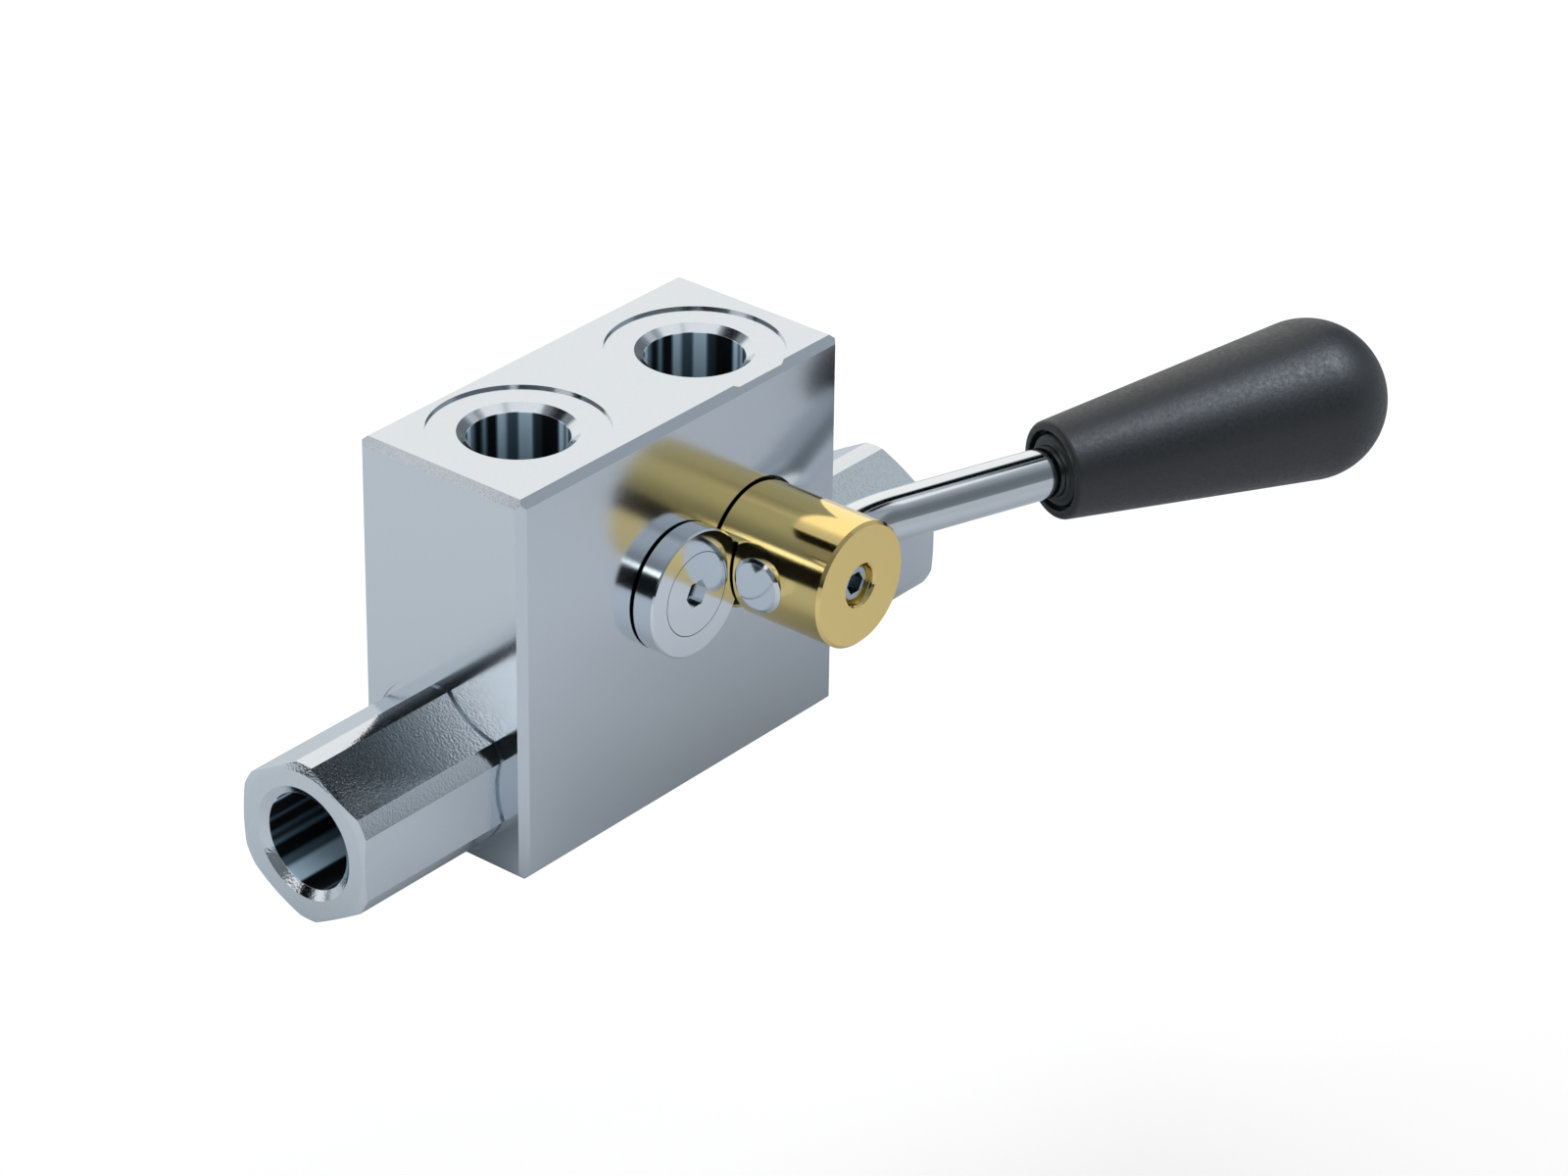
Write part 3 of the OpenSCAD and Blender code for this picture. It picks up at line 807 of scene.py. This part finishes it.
@dataclass
class Lever:
    """The bent lever rod with its handle, in the level plane through the spindle's axis.

    Names that end in _r are radii. tail_rim and tail_neck count from the tail's end, rod_end and
    handle_start from the corner of the rod's centre line, and ball_at from the handle's base.
    tail_slope is the length of the tail's chamfer, small_round rounds the lesser edges of hole
    and bush, and skin is the gap that keeps touching pieces apart. Edges of handle and bush that
    turn less than soft_edge degrees look soft.
    """

    finishes: Finishes
    rod_r: float = 5.0
    rod_y: float = -31.3
    rod_z: float = 45.0
    tail_x: float = 6.9
    tail_r: float = 5.5
    tail_chamfer: float = 0.8
    tail_slope: float = 0.48
    tail_soft: float = 0.2
    tail_crest: float = 0.1
    tail_rim: float = 0.55
    tail_neck: float = 1.05
    bend_r: float = 36.0
    bend_deg: float = 19.0
    straight_end_x: float = 33.6
    rod_end: float = 65.4
    end_round: float = 0.6
    handle_start: float = 41.4
    base_r: float = 9.7
    ball_r: float = 15.99
    ball_at: float = 59.8
    base_round: float = 1.0
    bush_r: float = 7.5
    bush_depth: float = 30.0
    groove_w: float = 0.5
    groove_depth: float = 1.4
    mouth_round: float = 0.15
    collar_round: float = 1.5
    small_round: float = 0.3
    bore_round: float = 0.2
    bore_spare: float = 0.4
    skin: float = 0.02
    bend_steps: int = 24
    ball_steps: int = 48
    segments: int = 128
    soft_edge: float = 50.0

    @property
    def tangent(self) -> float:
        """Distance from the bend's corner to where its arc starts."""
        return self.bend_r * math.tan(math.radians(self.bend_deg) / 2)

    @property
    def corner(self) -> np.ndarray:
        """Corner of the rod's centre line."""
        return np.array([self.straight_end_x + self.tangent, self.rod_y, self.rod_z])

    @property
    def reach(self) -> np.ndarray:
        """Unit vector along the handle."""
        bend = math.radians(self.bend_deg)
        return np.array([math.cos(bend), -math.sin(bend), 0.0])

    def build(self) -> None:
        """Make the rod, the handle and the bush."""
        f, soft = self.finishes, self.soft_edge
        finish_piece(self._rod(), f.chrome, "lever", "lever_rod")
        finish_piece(self._handle(), f.grip, "lever", "lever_handle", soft)
        finish_piece(self._bush(), f.bush, "lever", "handle_bush", soft)

    def _rod(self) -> Mesh:
        """Carry a circle along the bent centre line, its ends rounded.

        Along the bend, x = start + r * sin(t) and y = start - r * (1 - cos(t)).

        Returns:
            The rod's mesh.
        """
        bend = math.radians(self.bend_deg)
        first = self.straight_end_x - self.tail_x
        arc = self.bend_r * bend
        whole = first + arc + self.rod_end - self.tangent
        along, radii = rounded_outline(
            [
                (0, 0, 0),
                (0, self.tail_r - self.tail_chamfer, self.tail_soft),
                (self.tail_slope, self.tail_r, self.tail_crest),
                (self.tail_rim, self.tail_r, 0),
                (self.tail_neck, self.rod_r, 0),
                (first, self.rod_r, 0),
                (first + arc, self.rod_r, 0),
                (whole, self.rod_r, self.end_round),
                (whole, 0, 0),
            ]
        )
        steps = np.linspace(first, first + arc, self.bend_steps + 1)[1:-1]
        split = int(np.searchsorted(along, steps[-1]))
        along = np.insert(along, split, steps)
        radii = np.insert(radii, split, np.full(len(steps), self.rod_r))
        turned = np.clip((along - first) / self.bend_r, 0, bend)
        past = np.clip(along - first - arc, 0, None)
        before = np.clip(along, 0, first)
        x = self.tail_x + before + self.bend_r * np.sin(turned) + past * math.cos(bend)
        y = self.rod_y - self.bend_r * (1 - np.cos(turned)) - past * math.sin(bend)
        centres = np.stack([x, y, np.full_like(x, self.rod_z)], -1)
        across = np.stack([np.sin(turned), np.cos(turned), np.zeros_like(turned)], -1)
        up = np.tile([0.0, 0.0, 1.0], (len(x), 1))
        return tube_mesh("lever_rod_bar", centres, across, up, radii, self.segments)

    def _turned(self, name: str, along: np.ndarray, radii: np.ndarray) -> Mesh:
        """Turn an outline about the handle's axis.

        Args:
            name: the mesh's name.
            along: distance of each point from the handle's base.
            radii: radius of each point.

        Returns:
            The turned mesh.
        """
        base = self.corner + self.reach * self.handle_start
        centres = base + along[:, None] * self.reach
        side = np.array([-self.reach[1], self.reach[0], 0.0])
        across = np.tile(side, (len(along), 1))
        up = np.tile([0.0, 0.0, 1.0], (len(along), 1))
        return tube_mesh(name, centres, across, up, radii, self.segments)

    def _handle(self) -> Mesh:
        """Turn the grip: hole for the bush, groove, rounded base, cone and ball.

        The cone touches the ball where its outline leans by acos(-r / d) - atan2(base, at).

        Returns:
            The grip's mesh.
        """
        far = math.hypot(self.ball_at, self.base_r)
        lean = math.acos(-self.ball_r / far) - math.atan2(self.base_r, self.ball_at)
        mouth_r = self.bush_r + self.groove_w
        touch = (self.ball_at + self.ball_r * math.cos(lean), self.ball_r * math.sin(lean), 0)
        along, radii = rounded_outline(
            [
                (self.bush_depth, 0, 0),
                (self.bush_depth, self.bush_r, self.small_round),
                (self.groove_depth, self.bush_r, 0),
                (self.groove_depth, mouth_r, 0),
                (0, mouth_r, self.mouth_round),
                (0, self.base_r, self.base_round),
                touch,
            ]
        )
        turn = np.linspace(lean, 0, self.ball_steps + 1)[1:]
        along = np.concatenate([along, self.ball_at + self.ball_r * np.cos(turn)])
        radii = np.concatenate([radii, self.ball_r * np.sin(turn)])
        radii[-1] = 0
        return self._turned("lever_handle_grip", along, radii)

    def _bush(self) -> Mesh:
        """Turn the bush with its rounded collar.

        Returns:
            The bush's mesh.
        """
        bore_r = self.rod_r + self.skin
        bore_floor = self.rod_end - self.handle_start + self.bore_spare
        skin_r = self.bush_r - self.skin
        end = self.bush_depth - self.skin
        outline = rounded_outline(
            [
                (bore_floor, 0, 0),
                (bore_floor, bore_r, self.bore_round),
                (0, bore_r, self.small_round),
                (0, skin_r, self.collar_round),
                (end, skin_r, self.small_round),
                (end, 0, 0),
            ]
        )
        return self._turned("handle_bush_collar", *outline)


# ---- studio


@dataclass(frozen=True)
class Card:
    """A card or soft box of the studio, seen only in reflections.

    Attributes:
        name: what it is.
        colours: its colours from foot to head, evenly spaced, or its one colour, sRGB hex.
        level: brightness of those colours.
        feather: share of its width over which its edges fade.
    """

    name: str
    colours: tuple[str, ...]
    level: float
    feather: float

    def grid(self) -> np.ndarray:
        """Rows and columns of points in metres; each kind of card has its own."""
        raise NotImplementedError

    def build(self) -> None:
        """Make the card from its grid, with a UV map from 0 to 1 both ways."""
        points = self.grid()
        rows, columns = points.shape[:2]
        mesh = new_mesh(self.name, points, grid_faces(rows, columns), self._material())
        uv = mesh.uv_layers.new(name="UVMap")
        vertex = np.zeros(len(mesh.loops), np.int32)
        mesh.loops.foreach_get("vertex_index", vertex)
        places = np.stack([vertex % columns / (columns - 1), vertex // columns / (rows - 1)], -1)
        uv.data.foreach_set("uv", places.astype(np.float32).ravel())
        put_in_reflections(mesh)

    def _material(self) -> Material:
        """Make the card's light, which fades towards the edges.

        Returns:
            The material.
        """
        material, nodes = new_material(self.name)
        uv = nodes.add("ShaderNodeUVMap", uv_map="UVMap").outputs["UV"]
        inputs = {0: uv, 1: (0.5, 0.5, 0.0)}
        centred = nodes.add("ShaderNodeVectorMath", inputs, operation="SUBTRACT").outputs[0]
        away = nodes.add("ShaderNodeVectorMath", {0: centred}, operation="ABSOLUTE").outputs[0]
        edge = (0.5, 0.5 - self.feather)
        halves = nodes.parts(away)
        fades = [nodes.stretched(halves[axis], edge, curve="SMOOTHSTEP") for axis in "XY"]
        colour: Any = linear(self.colours[0])
        if len(self.colours) > 1:
            places = np.linspace(0.0, 1.0, len(self.colours)).tolist()
            colour = nodes.ramp(nodes.parts(uv)["Y"], tuple(zip(places, self.colours)))
        light = nodes.add("ShaderNodeEmission", {"Color": colour, "Strength": self.level})
        clear = nodes.add("ShaderNodeBsdfTransparent")
        fade = nodes.maths("MULTIPLY", *fades)
        inputs = {0: fade, 1: clear.outputs[0], 2: light.outputs[0]}
        nodes.show(nodes.add("ShaderNodeMixShader", inputs))
        material.cycles.emission_sampling = "NONE"
        return material


@dataclass(frozen=True)
class DomeCard(Card):
    """A card bent to a sphere of a radius in metres about the valve.

    Attributes:
        azimuth: its ends in degrees, from +X towards +Y.
        elevation: its foot and head in degrees.
    """

    azimuth: tuple[float, float]
    elevation: tuple[float, float]
    radius: float

    def grid(self) -> np.ndarray:
        """Points of the patch, 13 rows of 25."""
        azimuth = np.radians(np.linspace(*self.azimuth, 25))
        elevation = np.radians(np.linspace(*self.elevation, 13))
        return sphere_points(self.radius, azimuth, elevation)


@dataclass(frozen=True)
class FlatCard(Card):
    """A small flat card close to the valve: centre, half width and half height in metres."""

    centre: Triple
    across: Triple
    rise: Triple

    def grid(self) -> np.ndarray:
        """Points of the card: centre + u * across + w * rise, u and w from -1 to 1."""
        u = np.linspace(-1, 1, 9)[None, :, None]
        w = np.linspace(-1, 1, 9)[:, None, None]
        return np.array(self.centre) + u * np.array(self.across) + w * np.array(self.rise)


def put_in_reflections(mesh: Mesh) -> None:
    """Put a studio mesh in the scene where only glossy rays see it.

    Args:
        mesh: the mesh.
    """
    thing = put(mesh)
    for ray in ("camera", "diffuse", "transmission", "volume_scatter", "shadow"):
        setattr(thing, f"visible_{ray}", False)


# Where a card covers another one's edge, the nearer card is the one that shows
CARDS: tuple[Card, ...] = (
    DomeCard("rear_soft_box", (WARM_WHITE,), 1.08, 0.06, (22, 90), (-14, 58), 3.0),
    DomeCard("rear_flag_right", (BLACK,), 1.0, 0.15, (-5, 23), (42, 72), 2.95),
    DomeCard("rear_flag_left", (BLACK,), 1.0, 0.15, (97, 122), (40, 66), 2.9),
    DomeCard("back_left_grey_card", ("#80858A",), 1.0, 0.1, (119, 138), (31, 67), 2.85),
    DomeCard("back_left_band", (WHITE,), 1.0, 0.15, (98, 134), (4, 21), 2.8),
    DomeCard("left_flag", (BLACK,), 1.0, 0.06, (135, 152), (-3, 64), 2.75),
    DomeCard("left_low_soft_box", (WHITE,), 1.0, 0.1, (150, 177), (21, 34), 2.74),
    DomeCard("left_soft_box", (WHITE,), 1.3, 0.1, (178, 216), (34, 66), 2.7),
    DomeCard("top_soft_box", (WHITE,), 1.0, 0.06, (108, 215), (66, 84), 2.7),
    DomeCard("front_left_flag", (BLACK,), 1.0, 0.12, (-166, -120), (-11, 33), 2.65),
    # The line of light on the spindle
    FlatCard(
        "near_strip_light", (WHITE,), 2.2, 0.14,
        (-0.1258, -0.1159, 0.1512), (0.0096, -0.0115, 0.0), (0.0054, 0.0045, 0.0124),
    ),
    # The block's left top chamfer
    FlatCard(
        "near_back_left_card", ("#F4F6F8",), 0.9, 0.1,
        (-0.1144, 0.0907, 0.1746), (0.0077, 0.0199, -0.0108), (0.0065, 0.0001, 0.0047),
    ),
    DomeCard("top_right_box", (WHITE,), 1.0, 0.12, (-76, -22), (54, 77), 2.5),
    DomeCard("zenith_soft_box", (WHITE,), 1.0, 0.02, (-180, 180), (77, 89.5), 2.79),
    DomeCard("front_right_card", ("#B3BAC1", "#A3AAB1"), 1.0, 0.2, (-60, -3), (-2, 52), 2.55),
    DomeCard("right_card", ("#C9CFD4",), 1.0, 0.12, (-24, -3), (37, 48.6), 2.5),
    DomeCard("right_flag", (BLACK,), 1.0, 0.08, (-22, -6), (49.4, 58), 2.45),
    # The left fitting's upper flat
    FlatCard(
        "near_left_flag", ("#7F8990", "#2A2C2E", "#0C0D0E", "#0A0B0C"), 1.0, 0.04,
        (-0.1017, -0.0346, 0.1720), (0.0, 0.0491, 0.0095), (0.0365, -0.0055, 0.0283),
    ),
)

# Colours of the tent's cloth by elevation in degrees
TENT: Stops = (
    (-90, "#9299A0"), (-60, "#979EA6"), (-28, "#B2B9C0"), (-11, "#A7AEB5"), (-3, "#8F959B"),
    (6, "#787E84"), (20, "#70767B"), (34, "#777D83"), (47, "#999FA6"), (54, "#B5BCC3"),
    (60, "#C0C6CC"), (90, "#C4CAD0"),
)


@dataclass
class Studio:
    """Pale floor, soft light, the grey tent with its cards, and the photograph's camera.

    Lengths are in metres, angles in degrees, powers in watts. The mirror_ values are those of the
    floor that only reflections see: half its edge, the direction along which its colour changes,
    the places along it where its ramp starts and ends, and the ramp. grip_lamp_at is azimuth and
    elevation from the middle of the handle. azimuth, elevation and distance place the camera from
    an aim point at the height aim_z; azimuth counts from -Y towards +X. The shifts move both.
    """

    floor_z: float = -0.12
    floor_r: float = 12.0
    floor_glow: float = 0.06
    paper_roughness: float = 0.9
    mirror_reach: float = 2.4
    mirror_slope: Triple = (-0.4, 0.9, 0.0)
    mirror_span: tuple[float, float] = (-0.2, 0.1)
    mirror_stops: Stops = (
        (0.1, "#B9BEC5"), (0.34, "#C9CED6"), (1.0, "#CDD3D8"),
    )
    key_at: Triple = (-1.1, 1.2, 2.3)
    fill_at: Triple = (1.4, -1.0, 1.8)
    lamp_size: float = 1.6
    key_watts: float = 20.0
    fill_watts: float = 8.0
    grip_centre: Triple = (0.115, -0.057, 0.045)
    grip_lamp_at: tuple[float, float] = (-48.0, 57.0)
    grip_lamp_size: float = 0.4
    grip_watts: float = 5.0
    grip_lamp_colour: str = "#DCE8F6"
    tent_r: float = 3.4
    world_level: float = 0.8
    azimuth: float = -50.639
    elevation: float = 29.265
    roll: float = 0.835
    distance: float = 1.076411
    shift_right: float = 0.033766
    shift_up: float = -0.003365
    aim_z: float = 0.040
    lens: float = 132.39
    sensor: float = 36.0
    clip: tuple[float, float] = (0.05, 50.0)

    def build(self) -> None:
        """Make the whole studio."""
        self._floor()
        self._tent()
        self._mirror_floor()
        for card in CARDS:
            card.build()
            log.info("studio: %s", card.name)
        self._world()
        key, fill = Vector(self.key_at), Vector(self.fill_at)
        for lamp in (
            self._lamp("key_lamp", key, -key, self.lamp_size, self.key_watts),
            self._lamp("fill_lamp", fill, -fill, self.lamp_size, self.fill_watts),
        ):
            lamp.visible_glossy = False
        self._grip_lamp()
        self._camera()
        bpy.context.scene.view_settings.view_transform = "Standard"

    def _floor(self) -> None:
        """Make the floor, a wide pale matt disc."""
        angle = np.linspace(0, 2 * np.pi, 96, endpoint=False)
        points = self.floor_r * np.stack([np.cos(angle), np.sin(angle), 0 * angle], -1)
        points[:, 2] = self.floor_z
        material, nodes, shader = new_principled("matt_white_paper")
        seen = nodes.add("ShaderNodeLightPath").outputs["Is Camera Ray"]
        inputs = {
            "Base Color": linear("#FAFAFA"),
            "Roughness": self.paper_roughness,
            "Specular IOR Level": 0.1,
            "Emission Color": linear(WHITE),
            "Emission Strength": nodes.maths("MULTIPLY", seen, self.floor_glow),
        }
        nodes.fill(shader, inputs)
        mesh = new_mesh("studio_floor", points, [list(range(len(angle)))], material)
        floor = put(mesh)
        floor.visible_glossy = False

    def _mirror_floor(self) -> None:
        """Make the grey floor that only reflections see, just under the base.

        It is paler towards the back left: painted light, a colour ramp that stands in for more
        light falling there. It is lit like any matt surface, so the valve's foot darkens it where
        it stands.
        """
        r = self.mirror_reach
        corners = np.array([(-r, -r, -MM), (r, -r, -MM), (r, r, -MM), (-r, r, -MM)])
        material, nodes, shader = new_principled("matt_grey_paper")
        inputs = {0: nodes.place(), 1: self.mirror_slope}
        slope = nodes.add("ShaderNodeVectorMath", inputs, operation="DOT_PRODUCT").outputs["Value"]
        inputs = {
            # Painted light: the colour ramp makes the floor paler towards the back left
            "Base Color": nodes.ramp(nodes.stretched(slope, self.mirror_span), self.mirror_stops),
            "Roughness": self.paper_roughness,
            "Specular IOR Level": 0.0,
        }
        nodes.fill(shader, inputs)
        mesh = new_mesh("reflected_floor", corners, [[0, 1, 2, 3]], material)
        put_in_reflections(mesh)

    def _tent(self) -> None:
        """Make the tent: a sphere whose colour depends on the elevation alone."""
        rows, columns = 49, 96
        points = sphere_points(
            self.tent_r,
            np.linspace(0, 2 * np.pi, columns, endpoint=False),
            np.linspace(-np.pi / 2, np.pi / 2, rows),
        )
        material, nodes = new_material("grey_tent_cloth")
        height = nodes.stretched(nodes.parts(nodes.place())["Z"], (-self.tent_r, self.tent_r))
        stops = tuple(((math.sin(math.radians(el)) + 1) / 2, code) for el, code in TENT)
        inputs = {"Color": nodes.ramp(height, stops), "Strength": 1.0}
        nodes.show(nodes.add("ShaderNodeEmission", inputs))
        material.cycles.emission_sampling = "NONE"
        mesh = new_mesh("studio_tent", points, grid_faces(rows, columns, True), material)
        put_in_reflections(mesh)

    def _world(self) -> None:
        """Make the world: plain white, a little dimmer where it lights matt surfaces."""
        world = bpy.data.worlds.new("studio_air")
        world.use_nodes = True
        nodes = Nodes(world.node_tree)
        path = nodes.add("ShaderNodeLightPath").outputs
        shown = nodes.maths("ADD", path["Is Camera Ray"], path["Is Glossy Ray"])
        shown = nodes.maths("ADD", shown, path["Is Transmission Ray"])
        level = nodes.stretched(shown, (0.0, 1.0), (self.world_level, 1.0))
        light = nodes.add("ShaderNodeBackground", {"Color": linear(WHITE), "Strength": level})
        nodes.show(light, "ShaderNodeOutputWorld")
        bpy.context.scene.world = world

    def _lamp(
        self, name: str, place: Vector, direction: Vector, size: float, watts: float
    ) -> Object:
        """Hang one square soft lamp.

        Args:
            name: the lamp's name.
            place: where it hangs, in metres.
            direction: where it shines.
            size: its edge in metres.
            watts: its power.

        Returns:
            The lamp's object.
        """
        data = bpy.data.lights.new(name, "AREA")
        data.shape = "SQUARE"
        data.size = size
        data.energy = watts
        lamp = put(data)
        lamp.location = place
        lamp.rotation_euler = direction.to_track_quat("-Z", "Y").to_euler()
        return lamp

    def _grip_lamp(self) -> None:
        """Hang the small lamp that draws the soft streak along the handle and lights only it."""
        a, e = (math.radians(v) for v in self.grip_lamp_at)
        offset = Vector((math.cos(a) * math.cos(e), math.sin(a) * math.cos(e), math.sin(e)))
        place = Vector(self.grip_centre) + offset
        lamp = self._lamp("grip_lamp", place, -offset, self.grip_lamp_size, self.grip_watts)
        lamp.data.color = linear(self.grip_lamp_colour)[:3]
        lit = bpy.data.collections.new("lit_by_grip_lamp")
        for piece in ("lever_handle_grip", "handle_bush_collar"):
            lit.objects.link(bpy.data.objects[piece])
        lamp.light_linking.receiver_collection = lit

    def _camera(self) -> None:
        """Place the camera on a sphere about the aim point, then roll and shift it."""
        a, e, r = (math.radians(v) for v in (self.azimuth, self.elevation, self.roll))
        back = Vector((math.sin(a) * math.cos(e), -math.cos(a) * math.cos(e), math.sin(e)))
        level = Vector((math.cos(a), math.sin(a), 0.0))
        rise = level.cross(back) * -1
        right = level * math.cos(r) + rise * math.sin(r)
        up = rise * math.cos(r) - level * math.sin(r)
        target = Vector((0.0, 0.0, self.aim_z)) + right * self.shift_right + up * self.shift_up
        data = bpy.data.cameras.new("photo_camera")
        data.lens = self.lens
        data.sensor_width = self.sensor
        data.sensor_fit = "HORIZONTAL"
        data.clip_start, data.clip_end = self.clip
        camera = put(data)
        turn = Matrix((right, up, back)).transposed().to_4x4()
        camera.matrix_world = Matrix.Translation(target + back * self.distance) @ turn
        bpy.context.scene.camera = camera


def main() -> None:
    """Dress the valve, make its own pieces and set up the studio."""
    finishes = Finishes()
    Housing(finishes).dress()
    CheckMechanism(finishes).dress()
    Spindle(finishes).dress()
    Lever(finishes).build()
    Studio().build()


if __name__ == "__main__":
    logging.basicConfig(level=logging.INFO, format="%(name)s: %(message)s")
    main()
